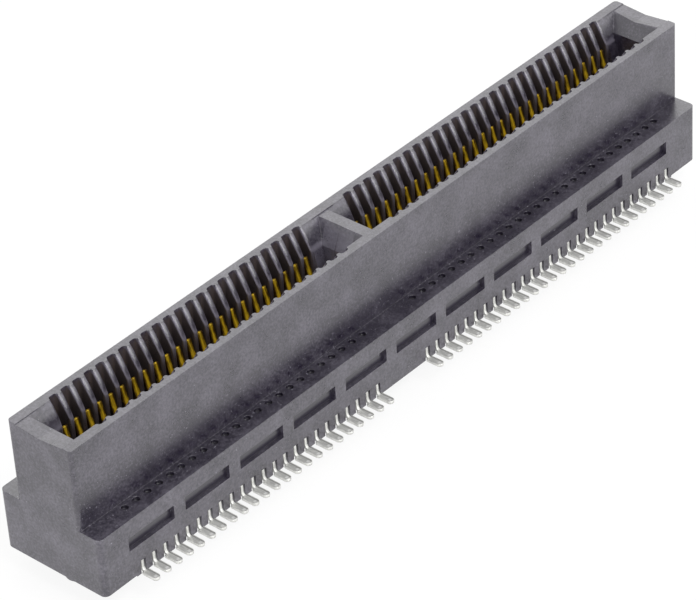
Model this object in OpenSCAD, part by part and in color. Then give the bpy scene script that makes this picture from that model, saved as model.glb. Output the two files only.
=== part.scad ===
// Board-mounted socket for a card edge, with two rows of formed spring contacts.
// X runs along the rows, the short bank of contacts at -X. Y runs across them.
// Z = 0 is the face of the board that the contact feet are soldered to.
// Sizes are in millimetres.

/* [Contact rows] */
// Centre distance of neighbouring contacts
pitch = 0.8; // [0.75:0.05:1.2]
// Contacts of one row in the short bank
short_bank = 23; // [4:1:40]
// Contacts of one row in the long bank
long_bank = 27; // [4:1:40]
// Positions left out for the key web
key_positions = 4; // [3:1:8]
// From the outermost contact centre to the end face
row_end = 2.675; // [2.5:0.025:4]

/* [Housing] */
// Width of the raised body
upper_width = 4.26; // [4.2:0.02:5]
// Width of the base
base_width = 6.8; // [6.6:0.05:9]
// Height of the ledges above the board
ledge_height = 3.62; // [3.4:0.02:5]
// Height of the top above the board
top_height = 8.47; // [7.8:0.01:11]
// Rounding of the raised body's upright corners
body_corner = 0.22; // [0.05:0.01:0.4]
// Rounding of the base's upright corners
base_corner = 0.32; // [0.05:0.01:0.6]
// Gap between the underside and the board
board_gap = 0.02; // [0.01:0.01:0.1]
// Extra gap under both end blocks
end_relief = 0.08; // [0.02:0.01:0.3]
// Length of an end block
end_block = 2.2; // [1.6:0.05:2.4]

/* [Card slot] */
// Width between the ribs
slot_width = 1.8; // [1.7:0.02:1.9]
// Width at the top of the curved lead-in
mouth_width = 3.12; // [2.6:0.02:3.3]
// Depth of the curved lead-in
lead_depth = 1.3; // [0.6:0.05:1.5]
// Radius of the lead-in curve on the ribs
lead_radius = 5.5; // [3:0.5:20]
// Depth from the top to the floor
slot_depth = 5.6; // [5:0.05:6]
// From the last contact centre of a bank to the slot's end
slot_margin = 1.07; // [0.6:0.01:1.1]
// Run along the slot of the end walls' lead-in slopes
end_lead = 0.76; // [0.2:0.02:0.9]
// Depth of the end walls' lead-in slopes
end_depth = 0.92; // [0.5:0.02:1.3]
// Run along the slot of the key web's lead-in slopes
web_lead = 0.6; // [0.1:0.02:0.6]
// Step down from the walls to the top of the key web
web_step = 0.06; // [0.02:0.01:0.3]
// Step down from the walls to the tops of the end walls
end_step = 0.04; // [0.02:0.01:0.3]
// Further dip in the middle of an end wall's top
end_dip = 0.14; // [0.05:0.01:0.3]

/* [Contact cavities] */
// Width of a cavity
cavity_width = 0.52; // [0.44:0.01:0.6]
// Wall left behind a cavity
cavity_wall = 0.37; // [0.3:0.01:0.45]
// Rounding of the ribs' edges between cavities
rib_corner = 0.1; // [0.02:0.01:0.11]
// Rounding of a cavity's outer corners
cavity_corner = 0.15; // [0.02:0.01:0.2]
// Clearance of a contact in its channel
fit_gap = 0.02; // [0.01:0.005:0.04]
// Width of the tail notches
notch_width = 0.36; // [0.3:0.01:0.4]
// Height of the tail notches above the board
notch_height = 0.8; // [0.7:0.01:1]
// Diameter of the round pockets in the ledges
pocket_diameter = 0.4; // [0.2:0.02:0.5]
// Depth of the round pockets
pocket_depth = 0.2; // [0.05:0.01:1]
// From the raised body's side to the pocket centres
pocket_offset = 0.4; // [0.3:0.01:0.5]

/* [Side windows] */
// Number of windows on a long side
window_count = 11; // [1:1:11]
// Length of a window
window_length = 3.2; // [1:0.1:3.4]
// Height of a window
window_height = 0.8; // [0.4:0.05:1.2]
// Depth of a window
window_depth = 0.25; // [0.1:0.05:0.45]
// Height of a window's lower edge above the board
window_level = 1.8; // [1.5:0.05:2]
// Contact positions from one window to the next
window_step = 5; // [5:1:6]

/* [Locating pegs] */
// Diameter of a peg
peg_diameter = 1.3; // [0.8:0.05:2]
// Reach of a peg below the board's face
peg_length = 1.25; // [0.8:0.05:2.5]
// Bevel of a peg's tip
peg_bevel = 0.3; // [0.1:0.02:0.35]
// From a peg's centre to the end face
peg_inset = 1.4; // [1.2:0.05:2]

/* [Contacts] */
// Thickness of the strip
strip_thickness = 0.16; // [0.12:0.01:0.18]
// Width of a foot
foot_width = 0.4; // [0.3:0.01:0.5]
// Width of the narrow riser above a foot
riser_width = 0.16; // [0.12:0.01:0.26]
// Width of the seated run
strip_width = 0.38; // [0.3:0.01:0.38]
// Width of the spring beam
beam_width = 0.36; // [0.24:0.01:0.38]
// Width over the ends of both rows of feet
foot_span = 8.8; // [8.6:0.05:12]
// From the base's side back to a riser's outer face
tail_recess = 0.04; // [0.03:0.01:0.2]
// Inner radius of the bend at a foot
foot_bend = 0.22; // [0.1:0.01:0.3]
// Inner radius of the other bends
bend_radius = 0.3; // [0.2:0.01:0.32]
// Height of the seated run's upper face
run_level = 1.08; // [1:0.01:1.2]
// From the middle of the slot to the upright root
root_offset = 1.2; // [1.1:0.01:1.25]
// Centreline radius of the beam's bends
beam_radius = 0.5; // [0.3:0.05:0.6]
// Straight length that leans in from the root to the crown
lean_length = 1.8; // [1.6:0.02:2]
// Depth of the crown, where the card is touched, below the top
crown_depth = 3.2; // [3:0.02:3.4]
// Straight length that leans out from the crown to the tip
tip_length = 1.44; // [1:0.02:1.6]

/* [Hidden] */
$fn = 48;
// Small overshoot of a cut past the face it opens
over = 0.1;

contact_count = short_bank + long_bank;
position_count = contact_count + key_positions;
// Sub-part to draw

housing_length = (position_count - 1) * pitch + 2 * row_end;
slot_floor = top_height - slot_depth;
web_middle = (grid_x(short_bank - 1) + grid_x(short_bank + key_positions)) / 2;
tail_face = base_width / 2 - tail_recess;
cavity_reach = upper_width / 2 - cavity_wall;
channel_width = strip_width + 2 * fit_gap;
root_face = root_offset + strip_thickness;
half_strip = strip_thickness / 2;
foot_corner = foot_bend + half_strip;
run_corner = bend_radius + half_strip;
run_end = tail_face - half_strip - run_corner;

// Lower and upper end of the slot's lead-in curve, and the middle of its circle
lead_foot = [slot_width / 2, top_height - lead_depth];
lead_lip = [mouth_width / 2, top_height];
lead_chord = lead_lip - lead_foot;
lead_middle = (lead_foot + lead_lip) / 2
    + sqrt(lead_radius * lead_radius - (lead_chord * lead_chord) / 4)
    * [lead_chord[1], -lead_chord[0]] / norm(lead_chord);
// Direction of the leaning beam, from a right triangle with sides of 7, 24 and 25
beam_lean = [7, 24] / 25;

// Two-digit number of a contact pair, counted from the short bank's end
function contact_name(i) = str("contact_pair_", i < 9 ? "0" : "", i + 1);

// X of a position on the even grid, counted from zero
function grid_x(n) = (n - (position_count - 1) / 2) * pitch;

// X of a contact pair, counted from zero, with the key positions passed over
function contact_x(i) = grid_x(i < short_bank ? i : i + key_positions);

// Direction from one point to the next
function heading(p, q) = (q - p) / norm(q - p);

// Angle of a direction
function bearing(d) = atan2(d[1], d[0]);

// Turn at point i of a path, positive to the left
function turn(path, i) =
    let (u = heading(path[i - 1], path[i]), v = heading(path[i], path[i + 1]))
    atan2(u[0] * v[1] - u[1] * v[0], u * v);

// Length that a bend of radius r takes from both legs at point i
function setback(path, i, r) = r * tan(abs(turn(path, i)) / 2);

// Where the bend at point i starts and ends; path ends have no bend
function bend_start(path, radii, i) = i == len(path) - 1 ? path[i] :
    path[i] - heading(path[i - 1], path[i]) * setback(path, i, radii[i]);
function bend_finish(path, radii, i) = i == 0 ? path[i] :
    path[i] + heading(path[i], path[i + 1]) * setback(path, i, radii[i]);

// Turns a side view, drawn in Y and Z, into a body of the given width in X
module across(width) {
    rotate([90, 0, 90]) linear_extrude(height = width, center = true) children();
}

// Rectangle with four equal rounded corners, centred
module rounded_plan(length, width, r) {
    square([length - 2 * r, width], center = true);
    square([length, width - 2 * r], center = true);
    for (x = [-1, 1], y = [-1, 1])
        translate([x * (length / 2 - r), y * (width / 2 - r)]) circle(r);
}

// Side view of a strip piece along a straight line
module straight_piece(p, q) {
    translate(p) rotate(bearing(q - p)) translate([0, -half_strip])
        square([norm(q - p), strip_thickness]);
}

// Side view of a strip piece around the bend at point i
module bent_piece(path, i, r) {
    u = heading(path[i - 1], path[i]);
    side = sign(turn(path, i));
    start = path[i] - u * setback(path, i, r);
    middle = start + side * r * [-u[1], u[0]];
    first = bearing(start - middle);
    last = first + turn(path, i);
    reach = 3 * r + strip_thickness;
    translate(middle) intersection() {
        difference() {
            circle(r + half_strip);
            circle(r - half_strip);
        }
        polygon([[0, 0], reach * [cos(first), sin(first)],
            reach * [cos((first + last) / 2), sin((first + last) / 2)],
            reach * [cos(last), sin(last)]]);
    }
}

// Side view of a strip along a path with a bend at every inner point
module strip_along(path, radii) {
    for (i = [0 : len(path) - 2])
        straight_piece(bend_finish(path, radii, i), bend_start(path, radii, i + 1));
    for (i = [1 : len(path) - 2])
        bent_piece(path, i, radii[i]);
}

// Foot, riser, seated run and upright root of a contact on the +Y side
module contact_base() {
    foot_middle = foot_span / 2 - foot_width / 2;
    foot_start = tail_face + foot_bend / 2;
    run_height = run_level - half_strip;
    path = [
        [foot_middle, half_strip],
        [tail_face - half_strip, half_strip],
        [tail_face - half_strip, run_height],
        [run_end - half_strip, run_height]
    ];
    run = [
        [run_end, run_height],
        [root_face - half_strip, run_height],
        [root_face - half_strip, slot_floor]
    ];
    across(riser_width) strip_along(path, [0, foot_corner, run_corner, 0]);
    across(strip_width) strip_along(run, [0, run_corner, 0]);
    translate([-foot_width / 2, foot_start, 0])
        cube([foot_width, foot_middle - foot_start, strip_thickness]);
    translate([0, foot_middle, 0]) cylinder(d = foot_width, h = strip_thickness);
}

// Spring beam of a contact on the +Y side: it leans in to the crown, then out.
// A bend takes beam_radius * tan(half its turn) from the straight lengths beside it.
module contact_beam() {
    lean_turn = atan2(beam_lean[0], beam_lean[1]);
    lean_setback = beam_radius * tan(lean_turn / 2);
    crown_setback = beam_radius * tan(lean_turn);
    root_rise = top_height - crown_depth - slot_floor
        - 2 * beam_radius * beam_lean[0] - lean_length * beam_lean[1];
    root = [root_face - half_strip, slot_floor];
    lean = root + [0, root_rise + lean_setback];
    crown = lean + (lean_setback + lean_length + crown_setback) * [-beam_lean[0], beam_lean[1]];
    tip = crown + (crown_setback + tip_length) * beam_lean;
    across(beam_width) {
        strip_along([root, lean, crown, tip], [0, beam_radius, beam_radius, 0]);
        translate(tip) circle(half_strip);
    }
}

module contact_pair(i) {
    color("gold") translate([contact_x(i), 0, 0]) for (m = [0, 1]) mirror([0, m, 0]) {
        contact_base();
        contact_beam();
    }
}

// Slot in side view; each end is upright below and slopes by its lead, [run, depth], above
module slot_run(left, right, left_lead, right_lead) {
    polygon([[left, slot_floor], [right, slot_floor], [right, top_height - right_lead[1]],
        [right + right_lead[0] * (1 + over / right_lead[1]), top_height + over],
        [left - left_lead[0] * (1 + over / left_lead[1]), top_height + over],
        [left, top_height - left_lead[1]]]);
}

// Cross-section of the slot, with convex lead-in curves on both sides
module slot_section() {
    difference() {
        union() {
            translate([-slot_width / 2, slot_floor]) square([slot_width, slot_depth + over]);
            polygon([[-lead_foot[0], lead_foot[1]], lead_foot, lead_lip, lead_lip + [0, over],
                [-lead_lip[0], lead_lip[1] + over], [-lead_lip[0], lead_lip[1]]]);
        }
        for (m = [0, 1]) mirror([m, 0]) translate(lead_middle) circle(lead_radius);
    }
}

// Point k of a rib's rounded edge: its depth behind the rib's face, and its distance
// from the middle of the cavity
function edge_point(k) = [rib_corner * (1 - cos(30 * k)),
    cavity_width / 2 + rib_corner * (1 - sin(30 * k))];

// Widening of a cavity between the rounded edges of two ribs, up to and along the curves
module rounded_edges() {
    edge = [2 * edge_point(0) - edge_point(1), edge_point(1), edge_point(2),
        1.5 * edge_point(3) - edge_point(2) / 2];
    start = bearing(lead_lip - lead_middle) - 3;
    sweep = bearing(lead_foot - lead_middle) + 2 - start;
    translate([0, 0, slot_floor]) linear_extrude(height = slot_depth - lead_depth + over / 2)
        for (m = [0, 1]) mirror([0, m]) polygon(concat([[-edge[0][1], -over], [edge[0][1], -over]],
            [for (k = [0 : 3]) [edge[k][1], slot_width / 2 + edge[k][0]]],
            [for (k = [3 : -1 : 0]) [-edge[k][1], slot_width / 2 + edge[k][0]]]));
    for (m = [0, 1]) mirror([0, m, 0]) translate([0, lead_middle[0], lead_middle[1]])
        rotate([90, 0, 90]) rotate([0, 0, start]) rotate_extrude(angle = sweep)
            polygon(concat([for (k = [0 : 3]) [lead_radius - edge[k][0], edge[k][1]]],
                [for (k = [3 : -1 : 0]) [lead_radius - edge[k][0], -edge[k][1]]]));
}

// One bank of the card slot
module card_slot(left, right, left_lead, right_lead) {
    intersection() {
        translate([(left + right) / 2, 0, 0])
            across(right - left + 4 * (left_lead[0] + right_lead[0])) slot_section();
        rotate([90, 0, 0]) linear_extrude(height = upper_width, center = true)
            slot_run(left, right, left_lead, right_lead);
    }
}

// Side view of the channel that seats a contact from below
module contact_channel() {
    inner = root_offset - fit_gap;
    outer = root_face + fit_gap;
    low = board_gap - over;
    polygon([[inner, low], [run_end, low], [run_end, run_level],
        [outer + bend_radius, run_level], [outer, run_level + bend_radius],
        [outer, slot_floor + over], [inner, slot_floor + over]]);
}

// Side view of the narrower notch for a riser, open through the base's side
module tail_notch() {
    lip = tail_face + fit_gap;
    side = base_width / 2 + over;
    low = board_gap - over;
    polygon([[run_end - over, low], [side, low], [side, notch_height], [lip, notch_height],
        [lip - (run_level - notch_height), run_level], [run_end - over, run_level]]);
}

module locating_peg() {
    rotate_extrude() polygon([[0, board_gap + end_relief + over],
        [peg_diameter / 2, board_gap + end_relief + over],
        [peg_diameter / 2, peg_bevel - peg_length],
        [peg_diameter / 2 - peg_bevel, -peg_length], [0, -peg_length]]);
}

module housing() {
    half = housing_length / 2;
    body_low = board_gap + end_relief;
    end_wall = row_end - slot_margin;
    end_slope = [end_lead, end_depth];
    web_slope = [web_lead, lead_depth];
    color("dimgray") {
        difference() {
            union() {
                translate([0, 0, body_low]) linear_extrude(height = ledge_height - body_low)
                    rounded_plan(housing_length, base_width, base_corner);
                translate([0, 0, body_low]) linear_extrude(height = top_height - body_low)
                    rounded_plan(housing_length, upper_width, body_corner);
                translate([end_block - half, -base_width / 2, board_gap])
                    cube([housing_length - 2 * end_block, base_width, 2 * end_relief]);
            }
            card_slot(-half + end_wall, grid_x(short_bank - 1) + slot_margin,
                end_slope, web_slope);
            card_slot(grid_x(short_bank + key_positions) - slot_margin, half - end_wall,
                web_slope, end_slope);
            for (i = [0 : contact_count - 1]) translate([contact_x(i), 0, 0]) {
                translate([0, 0, slot_floor]) linear_extrude(height = slot_depth + over)
                    rounded_plan(cavity_width, 2 * cavity_reach, cavity_corner);
                rounded_edges();
                for (m = [0, 1]) mirror([0, m, 0]) {
                    across(channel_width) contact_channel();
                    across(notch_width) tail_notch();
                    translate([0, upper_width / 2 + pocket_offset, ledge_height - pocket_depth])
                        cylinder(d = pocket_diameter, h = pocket_depth + over);
                }
            }
            for (m = [0, 1]) mirror([0, m, 0]) for (k = [0 : window_count - 1])
                translate([grid_x(k * window_step - 1), base_width / 2 - window_depth, window_level])
                    cube([window_length, window_depth + over, window_height]);
            translate([web_middle - pitch, -mouth_width / 2, top_height - web_step])
                cube([2 * pitch, mouth_width, web_step + over]);
            for (m = [0, 1]) mirror([m, 0, 0]) end_wall_dip(half - end_wall);
        }
        for (m = [0, 1]) mirror([m, 0, 0])
            translate([half - peg_inset, 0, 0]) locating_peg();
    }
}

// Step and shallow V cut in an end wall's top, from x outwards
module end_wall_dip(x) {
    side = mouth_width / 2;
    step = top_height - end_step;
    translate([x + row_end / 2, 0, 0]) across(row_end)
        polygon([[-side, step], [0, step - end_dip], [side, step],
            [side, top_height + over], [-side, top_height + over]]);
}

housing();
for (i = [0 : contact_count - 1])
    contact_pair(i);
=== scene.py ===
"""Studio picture of a card edge socket for a circuit board.

The socket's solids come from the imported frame. This file gives the moulded housing and the
formed contacts their finishes, and sets the floor, the lights and the camera around them.
"""

import math

import bpy
from mathutils import Matrix, Vector


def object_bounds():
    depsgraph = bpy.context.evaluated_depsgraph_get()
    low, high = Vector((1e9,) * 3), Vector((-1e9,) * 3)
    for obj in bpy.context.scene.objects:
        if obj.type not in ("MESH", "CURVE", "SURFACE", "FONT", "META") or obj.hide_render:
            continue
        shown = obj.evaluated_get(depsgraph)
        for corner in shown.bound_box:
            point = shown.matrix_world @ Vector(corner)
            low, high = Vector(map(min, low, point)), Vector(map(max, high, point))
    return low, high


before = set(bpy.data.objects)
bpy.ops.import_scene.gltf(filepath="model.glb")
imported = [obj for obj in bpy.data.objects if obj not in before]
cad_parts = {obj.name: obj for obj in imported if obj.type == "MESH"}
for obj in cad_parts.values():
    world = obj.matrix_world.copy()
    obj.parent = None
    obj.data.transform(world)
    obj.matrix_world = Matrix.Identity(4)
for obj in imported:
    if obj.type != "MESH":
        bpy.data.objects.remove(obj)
CAD_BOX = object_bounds()

bl_info = {
    "name": "Card edge socket studio",
    "version": (1, 0, 0),
    "blender": (4, 5, 0),
    "location": "3D View > Sidebar > Socket",
    "description": "Finishes, lights and camera for a board-mounted card edge socket",
    "category": "Object",
}

MM = 0.001
HOUSING = "housing"
CONTACTS = sorted(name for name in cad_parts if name.startswith("contact_pair_"))

# Places on the housing where shade and light are painted: along and aside from its middle, level
# from the board's face.
# The masks between them have soft edges, so they match the moulding's edges only closely.
WINDOWS_END = 22.0 * MM
WINDOW_BACK = (3.1 * MM, 3.2 * MM)
WINDOW_LEVELS = (1.7 * MM, 2.7 * MM)
POCKETS_END = 21.7 * MM
POCKET_SIDES = (2.3 * MM, 2.75 * MM)
POCKET_LEVELS = (3.3 * MM, 3.6 * MM)  # stops below the ledge's face
LEDGE_SIDES = (1.8 * MM, 3.2 * MM)
LEDGE_LEVELS = (2.9 * MM, 6.0 * MM)
SLOT_END = 22.25 * MM  # the end slopes begin here
SLOPE_END = 23.2 * MM
SLOPE_LEVELS = (6.5 * MM, 8.4 * MM)
WEB_FACE = (1.8 * MM, 3.3 * MM)
WEB_HALF_WIDTH = 1.0 * MM
WEB_LEVELS = (5.6 * MM, 8.4 * MM)
RIB_FACE = 0.92 * MM  # the ribs' faces beside the slot
LEAD_BOTTOM = 7.17 * MM  # the curved lead-ins begin here
LEAD_LEAN = 0.51  # sideways run of a lead-in for each unit of its rise
CAVITY_END = 1.8 * MM
RIB_TOP = 8.44 * MM  # stops below the top face
# The ribs' faces take painted shade below RIB_SHADOW
RIB_SHADOW = 7.5 * MM  # the ribs' faces darken below this

# Places on the contacts where a dark reflection, a highlight and shade are painted; those across a
# contact are shares of the pitch
# Near the feet's ends, where a highlight is painted
TOE = (4.08 * MM, 4.32 * MM)  # near the feet's ends, aside from the middle
TOE_ACROSS = (-0.16, 0.12)
# Across each strip, where a dark reflection is painted along its edge
EDGE_REFLECTION_ACROSS = (0.11, 0.19)
# Levels of the beams' tips, where shade is painted
TIP_LEVELS = (6.15 * MM, 9.0 * MM)

# Colours of the plastic and the metal, and of the shade, dark reflection and highlight painted on
# them
# Dark end of the plastic's random mottling, which also carries the painted shade
MOTTLED_AND_SHADED_PLASTIC = (0.006, 0.003, 0.013, 1.0)
FIBRE = (0.21, 0.20, 0.24, 1.0)
DULL_TIN = (0.58, 0.58, 0.56, 1.0)
# Painted dark reflection along one edge of each strip
DARK_EDGE_REFLECTION = (0.15, 0.15, 0.14, 1.0)
# Painted highlight near the feet's ends
PAINTED_TOE_HIGHLIGHT = (0.92, 0.92, 0.90, 1.0)
# Painted shade towards the gold beams' sides and on their tips
SHADED_GOLD = (0.07, 0.035, 0.006, 1.0)
WHITE = (1.0, 1.0, 1.0, 1.0)

SKIN_GLOSS = 2.0  # index of refraction; plain plastic has 1.5, a glossier skin more
PORE_DEPTH = 0.003 * MM
STREAK_STRETCH = (6.0, 1.0, 1.0)  # narrows the clouds into streaks along each strip
FLOOR_REACH = 1.5  # metres from the middle to the floor's sides
SENSOR_WIDTH = 36.0  # millimetres
CLIP_RANGE = (0.01, 10.0)  # nearest and furthest distance that the camera shows, in metres


class Wire:
    """A node's output socket that takes part in Python sums by adding Math nodes."""

    def __init__(self, nodes, socket):
        self.nodes = nodes
        self.socket = socket

    def _math(self, operation, first, second):
        return self.nodes.add("ShaderNodeMath", {"operation": operation}, {0: first, 1: second})

    def __add__(self, other):
        return self._math("ADD", self, other)

    __radd__ = __add__

    def __sub__(self, other):
        return self._math("SUBTRACT", self, other)

    def __rsub__(self, other):
        return self._math("SUBTRACT", other, self)

    def __mul__(self, other):
        return self._math("MULTIPLY", self, other)

    __rmul__ = __mul__

    def clamped(self):
        """The value kept between 0 and 1."""
        return self.nodes.add("ShaderNodeClamp", {}, {"Value": self})


class NodeSet:
    """The nodes of one material or world, started empty."""

    def __init__(self, owner):
        owner.use_nodes = True
        self.tree = owner.node_tree
        self.tree.nodes.clear()

    def add(self, kind, settings, inputs, output=0):
        """Add one node: its settings first, then the values or links of its sockets."""
        node = self.tree.nodes.new(kind)
        for name, value in settings.items():
            setattr(node, name, value)
        for name, value in inputs.items():
            if isinstance(value, Wire):
                self.tree.links.new(value.socket, node.inputs[name])
            else:
                node.inputs[name].default_value = value
        return Wire(self, node.outputs[output]) if node.outputs else None

    def noise(self, place, per_mm, detail=3.0, roughness=0.55):
        """Cloudy value around 0.5, with about per_mm lumps in each millimetre."""
        return self.add(
            "ShaderNodeTexNoise",
            {},
            {"Vector": place, "Scale": per_mm / MM, "Detail": detail, "Roughness": roughness},
        )

    def axes(self, place):
        """The three coordinates of a place."""
        node = self.add("ShaderNodeSeparateXYZ", {}, {"Vector": place}).socket.node
        return [Wire(self, output) for output in node.outputs]

    def unsigned(self, value):
        """The value without its sign."""
        return self.add("ShaderNodeMath", {"operation": "ABSOLUTE"}, {0: value})

    def blend(self, share, first, second):
        """Colour that goes from first to second as share goes from 0 to 1."""
        return self.add(
            "ShaderNodeMix",
            {"data_type": "RGBA"},
            {0: share, 6: first, 7: second},
            output=2,
        )

    def softened(self, height, strength, distance, edge):
        """Normal with a fine relief and with edges rounded by the given radius."""
        rounded = self.add("ShaderNodeBevel", {"samples": 6}, {"Radius": edge})
        return self.add(
            "ShaderNodeBump",
            {},
            {"Height": height, "Strength": strength, "Distance": distance, "Normal": rounded},
        )

    def surface(self, inputs):
        """Finish the material with one Principled surface."""
        shader = self.add("ShaderNodeBsdfPrincipled", {}, inputs)
        self.add("ShaderNodeOutputMaterial", {}, {"Surface": shader})


def colour(rgb):
    """Shader colour of a colour property."""
    return (*rgb, 1.0)


class SocketFinish(bpy.types.PropertyGroup):
    """Colours and textures of the socket's two materials."""

    plastic_colour: bpy.props.FloatVectorProperty(
        name="Plastic", description="Colour of the moulded housing", subtype="COLOR",
        size=3, min=0.0, max=1.0, default=(0.084, 0.076, 0.100))
    # Painted light on the ribs' sides and on the key web's face
    painted_light_colour: bpy.props.FloatVectorProperty(
        name="Rib sides", description="Paler colour of the ribs' sides near their edges",
        subtype="COLOR", size=3, min=0.0, max=1.0, default=(0.22, 0.205, 0.255))
    # Painted shade in the cavities, warmed as if by light reflected from the gold
    painted_cavity_shade: bpy.props.FloatVectorProperty(
        name="Cavities", description="Warmer colour of the walls around the contacts",
        subtype="COLOR", size=3, min=0.0, max=1.0, default=(0.052, 0.040, 0.040))
    plastic_roughness: bpy.props.FloatProperty(
        name="Plastic roughness", description="Spread of the gloss on the housing",
        subtype="FACTOR", min=0.0, max=1.0, default=0.30)
    grain_depth: bpy.props.FloatProperty(
        name="Grain depth", description="Depth of the fine grain in the plastic",
        subtype="DISTANCE", min=0.0, default=0.004 * MM)
    edge_radius: bpy.props.FloatProperty(
        name="Edge radius", description="Rounding seen along the housing's edges",
        subtype="DISTANCE", min=0.0, default=0.03 * MM)
    mottling: bpy.props.FloatProperty(
        name="Mottling", description="Contrast of the cloudy marks in the plastic",
        min=0.0, max=3.0, default=1.0)
    gold_colour: bpy.props.FloatVectorProperty(
        name="Gold", description="Colour of the plated spring beams", subtype="COLOR",
        size=3, min=0.0, max=1.0, default=(0.80, 0.53, 0.025))
    tin_colour: bpy.props.FloatVectorProperty(
        name="Tin", description="Colour of the plated feet", subtype="COLOR",
        size=3, min=0.0, max=1.0, default=(0.80, 0.80, 0.77))
    tin_shine: bpy.props.FloatProperty(
        name="Tin shine", description="How metallic the matte tin looks",
        subtype="FACTOR", min=0.0, max=1.0, default=0.8)
    gold_shine: bpy.props.FloatProperty(
        name="Gold shine", description="How metallic the gold plating looks",
        subtype="FACTOR", min=0.0, max=1.0, default=0.5)
    strip_edge: bpy.props.FloatProperty(
        name="Strip edge", description="Rounding seen along the contacts' stamped edges",
        subtype="DISTANCE", min=0.0, default=0.1 * MM)
    metal_roughness: bpy.props.FloatProperty(
        name="Metal roughness", description="Spread of the gloss on the contacts",
        subtype="FACTOR", min=0.0, max=1.0, default=0.5)
    pitch: bpy.props.FloatProperty(
        name="Pitch", description="Distance from one contact to the next",
        subtype="DISTANCE", min=0.1 * MM, default=0.8 * MM)
    plating_height: bpy.props.FloatProperty(
        name="Plating height", description="Height above the board where tin changes to gold",
        subtype="DISTANCE", default=1.6 * MM)


class SocketStudio(bpy.types.PropertyGroup):
    """Floor, lights and camera."""

    floor_colour: bpy.props.FloatVectorProperty(
        name="Floor", description="Colour of the floor", subtype="COLOR",
        size=3, min=0.0, max=1.0, default=(0.93, 0.93, 0.93))
    floor_clearing: bpy.props.FloatProperty(
        name="Floor clearing", description="How far the picture's floor is cleared to white",
        subtype="FACTOR", min=0.0, max=0.95, default=0.88)
    room_light: bpy.props.FloatProperty(
        name="Room light", description="Strength of the even light from all sides",
        min=0.0, default=0.75)
    key_light: bpy.props.FloatProperty(
        name="Key light", description="Brightness of the long soft lamp in front",
        subtype="POWER", min=0.0, default=0.03)
    rib_light: bpy.props.FloatProperty(
        name="Rib light", description="Brightness of the long low lamp behind the camera",
        subtype="POWER", min=0.0, default=0.50)
    end_light: bpy.props.FloatProperty(
        name="End light", description="Brightness of the lamp that faces the short bank's end",
        subtype="POWER", min=0.0, default=0.40)
    top_light: bpy.props.FloatProperty(
        name="Top light", description="Brightness of the softbox behind and above",
        subtype="POWER", min=0.0, default=0.30)
    slot_light: bpy.props.FloatProperty(
        name="Slot light", description="Brightness of the lamp that reaches into the card slot",
        subtype="POWER", min=0.0, default=0.45)
    azimuth: bpy.props.FloatProperty(
        name="Azimuth", description="Camera's turn around the socket",
        subtype="ANGLE", default=math.radians(-46.756))
    elevation: bpy.props.FloatProperty(
        name="Elevation", description="Camera's height angle",
        subtype="ANGLE", default=math.radians(35.615))
    roll: bpy.props.FloatProperty(
        name="Roll", description="Camera's turn about its own axis",
        subtype="ANGLE", default=math.radians(-3.931))
    aim: bpy.props.FloatVectorProperty(
        name="Aim", description="Point that the camera's axis passes through",
        subtype="TRANSLATION", size=3, default=(-0.04225 * MM, 1.84341 * MM, 1.82011 * MM))
    distance: bpy.props.FloatProperty(
        name="Distance", description="From the camera to the aim point",
        subtype="DISTANCE", default=185.417 * MM)
    lens: bpy.props.FloatProperty(
        name="Lens", description="Focal length in millimetres on a 36 mm wide sensor",
        default=181.42)
    shift: bpy.props.FloatVectorProperty(
        name="Shift", description="Lens shift, as a share of the picture's width",
        size=2, default=(0.00402, 0.00023))


def band(value, limits, edge):
    """1 where the value lies between the limits, with soft edges of the given width."""
    low, high = limits
    return ((value - low) * (1.0 / edge)).clamped() * ((high - value) * (1.0 / edge)).clamped()


def give_finish(name, material):
    """Put the material on a solid of the frame, in place of what it had."""
    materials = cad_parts[name].data.materials
    materials.clear()
    materials.append(material)


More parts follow.
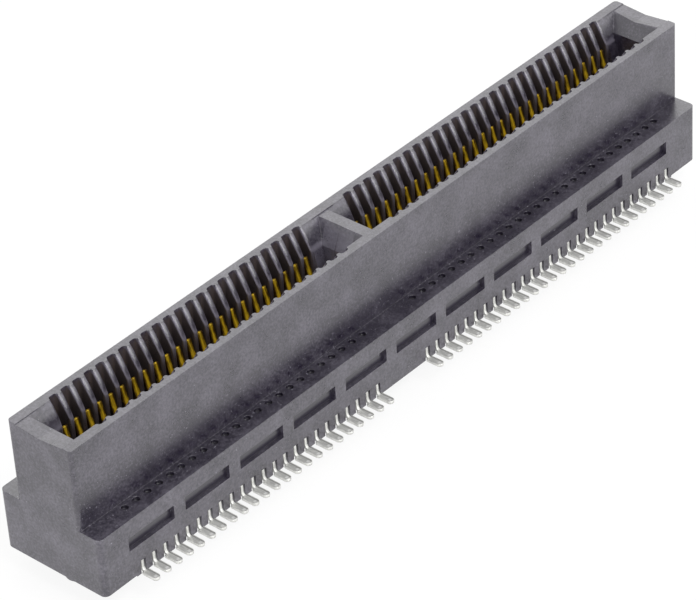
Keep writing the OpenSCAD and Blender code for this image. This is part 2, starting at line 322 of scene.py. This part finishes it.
class PaintedLightZones:
    """Masks of the housing's places where painted shade makes the colour darker, and painted light
    paler, than on its open walls.
    """

    def __init__(self, nodes, place):
        along, aside, self.level = nodes.axes(place)
        self.along = nodes.unsigned(along)
        self.aside = nodes.unsigned(aside)
        rise = nodes.add(
            "ShaderNodeMath", {"operation": "MAXIMUM"}, {0: self.level - LEAD_BOTTOM, 1: 0.0}
        )
        # Depth behind the ribs' faces, which lean outwards above the lead-in's bottom
        self.depth = self.aside - RIB_FACE - LEAD_LEAN * rise

    def ledge(self):
        """The ledge and the foot of the wall over it, where shade is painted."""
        return band(self.aside, LEDGE_SIDES, 0.3 * MM) * band(self.level, LEDGE_LEVELS, 0.7 * MM)

    def slope(self):
        """The slopes at the slot's ends, with the upright wall under them, where shade is painted.
        """
        return (
            band(self.along, (SLOT_END, SLOPE_END), 0.05 * MM)
            * band(self.level, SLOPE_LEVELS, 0.1 * MM)
            * band(self.depth, (-2.0 * MM, -0.02 * MM), 0.1 * MM)
        )

    def window(self):
        """The backs of the side windows, where shade is painted."""
        return (
            band(self.along, (0.0, WINDOWS_END), 0.05 * MM)
            * band(self.aside, WINDOW_BACK, 0.01 * MM)
            * band(self.level, WINDOW_LEVELS, 0.05 * MM)
        )

    def pocket(self):
        """The round pockets in the ledges, where shade is painted."""
        return (
            band(self.along, (0.0, POCKETS_END), 0.1 * MM)
            * band(self.aside, POCKET_SIDES, 0.02 * MM)
            * band(self.level, POCKET_LEVELS, 0.02 * MM)
        )

    def web(self):
        """The key web's face towards the short bank, where light is painted.

        Its mirror image falls on ribs of the long bank, whose own finish covers it.
        """
        return (
            band(self.along, WEB_FACE, 0.1 * MM)
            * band(self.aside, (0.0, WEB_HALF_WIDTH), 0.05 * MM)
            * band(self.level, WEB_LEVELS, 0.8 * MM)
        )

    def rib(self):
        """The ribs and the walls of the cavities between them, where light and shade are painted.
        """
        return (
            band(self.along, (0.0, SLOT_END), 0.1 * MM)
            * band(self.depth, (-0.06 * MM, 2.0 * MM), 0.06 * MM)
            * band(self.aside, (0.0, CAVITY_END), 0.05 * MM)
            * band(self.level, (0.0, RIB_TOP), 0.2 * MM)
        )

    def cavity(self):
        """Share of painted shade, from 0 on the ribs' upper faces, which carry painted light, to 1
        lower down and inside the cavities.
        """
        inward = self.depth * (9.0 / MM) + (RIB_SHADOW - self.level) * (1.2 / MM)
        return inward.clamped()


class SOCKET_OT_finish_housing(bpy.types.Operator):
    """Give the housing its black glass-filled plastic with a satin moulded skin"""

    bl_idname = "socket.finish_housing"
    bl_label = "Finish housing"

    def execute(self, context):
        look = context.scene.socket_finish
        material = bpy.data.materials.new("black_moulding")
        nodes = NodeSet(material)
        place = nodes.add("ShaderNodeTexCoord", {}, {}, output="Object")
        grain = nodes.noise(place, per_mm=14.0)
        clouds = nodes.noise(place, per_mm=0.7, detail=4.0)
        mottle = nodes.noise(place, per_mm=7.0, detail=4.0, roughness=0.7)
        zones = PaintedLightZones(nodes, place)
        at_ledge = zones.ledge()
        # Painted shade on the ledge, on the slot's end slopes, on the window backs and in the
        # pockets
        shade = (
            0.22 * at_ledge + 0.3 * zones.slope() + 0.6 * zones.window() + 0.25 * zones.pocket()
        )
        lightness = (1.4 * clouds + 2.8 * mottle - 2.1) * look.mottling + 0.33 - shade
        base = nodes.blend(lightness.clamped(), MOTTLED_AND_SHADED_PLASTIC, colour(look.plastic_colour))
        fibres = nodes.noise(place, per_mm=9.0, detail=1.0) - 0.74 + 0.05 * at_ledge
        base = nodes.blend((fibres * 12.0).clamped(), base, FIBRE)
        # Painted light on the key web's face
        base = nodes.blend(zones.web() * (0.8 * clouds), base, colour(look.painted_light_colour))
        # Painted light on the ribs' upper faces and sides, and painted shade, warmed as if by
        # light from the gold, deeper in the cavities
        rib = nodes.blend(zones.cavity(), colour(look.painted_light_colour), colour(look.painted_cavity_shade))
        base = nodes.blend(zones.rib(), base, rib)
        nodes.surface(
            {
                "Base Color": base,
                "Roughness": look.plastic_roughness - 0.09 + 0.1 * grain + 0.08 * clouds,
                "IOR": SKIN_GLOSS,
                "Normal": nodes.softened(grain + mottle, 0.5, look.grain_depth, look.edge_radius),
            }
        )
        give_finish(HOUSING, material)
        return {"FINISHED"}


class SOCKET_OT_finish_contacts(bpy.types.Operator):
    """Plate the contacts: gold on the spring beams, tin on the feet"""

    bl_idname = "socket.finish_contacts"
    bl_label = "Finish contacts"

    def execute(self, context):
        look = context.scene.socket_finish
        material = bpy.data.materials.new("plated_strip")
        nodes = NodeSet(material)
        place = nodes.add("ShaderNodeTexCoord", {}, {}, output="Object")
        along, aside, height = nodes.axes(place)
        drawn = nodes.add("ShaderNodeMapping", {}, {"Vector": place, "Scale": STREAK_STRETCH})
        streaks = nodes.noise(drawn, per_mm=2.5)
        pores = nodes.noise(place, per_mm=20.0)
        plated = ((height - look.plating_height) * (5.0 / MM) + 0.4 * streaks + 0.3).clamped()
        # From -0.5 to 0.5 over each position of a bank, and 0 on the contact's middle line
        column = along * (1.0 / look.pitch)
        across = nodes.add("ShaderNodeMath", {"operation": "FRACT"}, {0: column}) - 0.5

        tin = nodes.blend(((streaks - 0.35) * 2.5).clamped(), DULL_TIN, colour(look.tin_colour))
        # Painted dark reflection along one edge of each strip
        edge_reflection = band(across, EDGE_REFLECTION_ACROSS, 0.03) * (0.2 + streaks).clamped()
        tin = nodes.blend(edge_reflection, tin, DARK_EDGE_REFLECTION)
        # Painted highlight near the feet's ends
        toe_highlight = band(nodes.unsigned(aside), TOE, 0.08 * MM) * band(across, TOE_ACROSS, 0.06)
        tin = nodes.blend(toe_highlight, tin, PAINTED_TOE_HIGHLIGHT)

        # Painted shade towards the gold beams' sides and on their tips, broken up by the streaks
        gold_shade = (nodes.unsigned(across) - 0.04) * 6.0 + 2.4 * (streaks - 0.5)
        gold_shade = (gold_shade + 0.35 * band(height, TIP_LEVELS, 0.3 * MM)).clamped()
        gold = nodes.blend(gold_shade, colour(look.gold_colour), SHADED_GOLD)
        tint = nodes.blend(plated, tin, gold)
        nodes.surface(
            {
                "Base Color": tint,
                "Metallic": look.tin_shine + plated * (look.gold_shine - look.tin_shine),
                "Roughness": look.metal_roughness - 0.1 + 0.12 * pores + 0.1 * streaks
                - 0.2 * plated,
                "Normal": nodes.softened(pores, 0.25, PORE_DEPTH, look.strip_edge),
            }
        )
        for name in CONTACTS:
            give_finish(name, material)
        return {"FINISHED"}


class SOCKET_OT_set_stage(bpy.types.Operator):
    """Lay the pale floor, light the room evenly and hang the soft lamps"""

    bl_idname = "socket.set_stage"
    bl_label = "Set stage"

    def execute(self, context):
        studio = context.scene.socket_studio
        lowest = CAD_BOX[0].z
        mesh = bpy.data.meshes.new("floor")
        corners = [(x * FLOOR_REACH, y * FLOOR_REACH, lowest)
                   for x, y in ((-1, -1), (1, -1), (1, 1), (-1, 1))]
        mesh.from_pydata(corners, [], [(0, 1, 2, 3)])
        floor = bpy.data.objects.new("floor", mesh)
        context.scene.collection.objects.link(floor)
        material = bpy.data.materials.new("pale_floor")
        nodes = NodeSet(material)
        seen, relayed = view_rays(nodes)
        matte = nodes.add("ShaderNodeBsdfDiffuse", {}, {"Color": colour(studio.floor_colour)})
        white = nodes.add("ShaderNodeEmission", {}, {"Strength": 1.0})
        mixed = nodes.add(
            "ShaderNodeMixShader", {},
            {0: (seen * studio.floor_clearing + relayed).clamped(), 1: matte, 2: white},
        )
        nodes.add("ShaderNodeOutputMaterial", {}, {"Surface": mixed})
        mesh.materials.append(material)

        world = bpy.data.worlds.new("white_room")
        context.scene.world = world
        nodes = NodeSet(world)
        seen, relayed = view_rays(nodes)
        strength = studio.room_light + (seen + relayed).clamped() * (1.0 - studio.room_light)
        light = nodes.add("ShaderNodeBackground", {}, {"Color": WHITE, "Strength": strength})
        nodes.add("ShaderNodeOutputWorld", {}, {"Surface": light})

        hang_lamp(context, "key_lamp", (0.19, -0.25, 0.09), (0.22, 0.06), studio.key_light)
        hang_lamp(context, "rib_lamp", (-0.12, -0.258, 0.09), (0.60, 0.07), studio.rib_light)
        hang_lamp(context, "end_lamp", (-0.35, 0.0, 0.05), (0.20, 0.10), studio.end_light)
        hang_lamp(context, "top_lamp", (0.22, 0.21, 0.22), (0.34, 0.30), studio.top_light)
        hang_lamp(context, "slot_lamp", (-0.02, -0.17, 0.27), (0.16, 0.10), studio.slot_light)
        context.scene.view_settings.view_transform = "Standard"
        return {"FINISHED"}


def view_rays(nodes):
    """Two values: 1 on what the camera sees directly, and 1 on what gloss or glass shows of it."""
    seen, mirrored, passed = (
        nodes.add("ShaderNodeLightPath", {}, {}, output=kind)
        for kind in ("Is Camera Ray", "Is Glossy Ray", "Is Transmission Ray")
    )
    return seen, mirrored + passed


def hang_lamp(context, name, position, size, power):
    """Rectangular lamp that faces the socket."""
    data = bpy.data.lights.new(name, "AREA")
    data.shape = "RECTANGLE"
    data.size, data.size_y = size
    data.energy = power
    lamp = bpy.data.objects.new(name, data)
    lamp.location = position
    lamp.rotation_euler = (-Vector(position)).to_track_quat("-Z", "Y").to_euler()
    context.scene.collection.objects.link(lamp)


class SOCKET_OT_place_camera(bpy.types.Operator):
    """Look down the socket's length from the short bank's end"""

    bl_idname = "socket.place_camera"
    bl_label = "Place camera"

    def execute(self, context):
        studio = context.scene.socket_studio
        turn, rise, roll = studio.azimuth, studio.elevation, studio.roll
        back = Vector((math.sin(turn) * math.cos(rise), -math.cos(turn) * math.cos(rise),
                       math.sin(rise)))
        level = Vector((math.cos(turn), math.sin(turn), 0.0))
        upright = back.cross(level)
        right = level * math.cos(roll) + upright * math.sin(roll)
        up = upright * math.cos(roll) - level * math.sin(roll)
        axes = Matrix((right, up, back)).transposed()
        data = bpy.data.cameras.new("camera")
        data.sensor_width = SENSOR_WIDTH
        data.lens = studio.lens
        data.shift_x, data.shift_y = studio.shift
        data.clip_start, data.clip_end = CLIP_RANGE
        camera = bpy.data.objects.new("camera", data)
        camera.matrix_world = (
            Matrix.Translation(Vector(studio.aim) + back * studio.distance) @ axes.to_4x4()
        )
        context.scene.collection.objects.link(camera)
        context.scene.camera = camera
        return {"FINISHED"}


OPERATORS = (
    SOCKET_OT_finish_housing,
    SOCKET_OT_finish_contacts,
    SOCKET_OT_set_stage,
    SOCKET_OT_place_camera,
)


class SOCKET_PT_studio(bpy.types.Panel):
    """Steps and settings of the studio picture"""

    bl_label = "Card edge socket"
    bl_idname = "SOCKET_PT_studio"
    bl_space_type = "VIEW_3D"
    bl_region_type = "UI"
    bl_category = "Socket"

    def draw(self, context):
        for operator in OPERATORS:
            self.layout.operator(operator.bl_idname)
        for group in (context.scene.socket_finish, context.scene.socket_studio):
            for name in group.bl_rna.properties.keys():
                if name not in {"rna_type", "name"}:
                    self.layout.prop(group, name)


CLASSES = (SocketFinish, SocketStudio, *OPERATORS, SOCKET_PT_studio)


def register():
    for cls in CLASSES:
        bpy.utils.register_class(cls)
    bpy.types.Scene.socket_finish = bpy.props.PointerProperty(type=SocketFinish)
    bpy.types.Scene.socket_studio = bpy.props.PointerProperty(type=SocketStudio)


def unregister():
    del bpy.types.Scene.socket_studio
    del bpy.types.Scene.socket_finish
    for cls in reversed(CLASSES):
        bpy.utils.unregister_class(cls)


def main():
    """Run every step in order."""
    register()
    for operator in OPERATORS:
        group, name = operator.bl_idname.split(".")
        getattr(getattr(bpy.ops, group), name)()


if __name__ == "__main__":
    main()
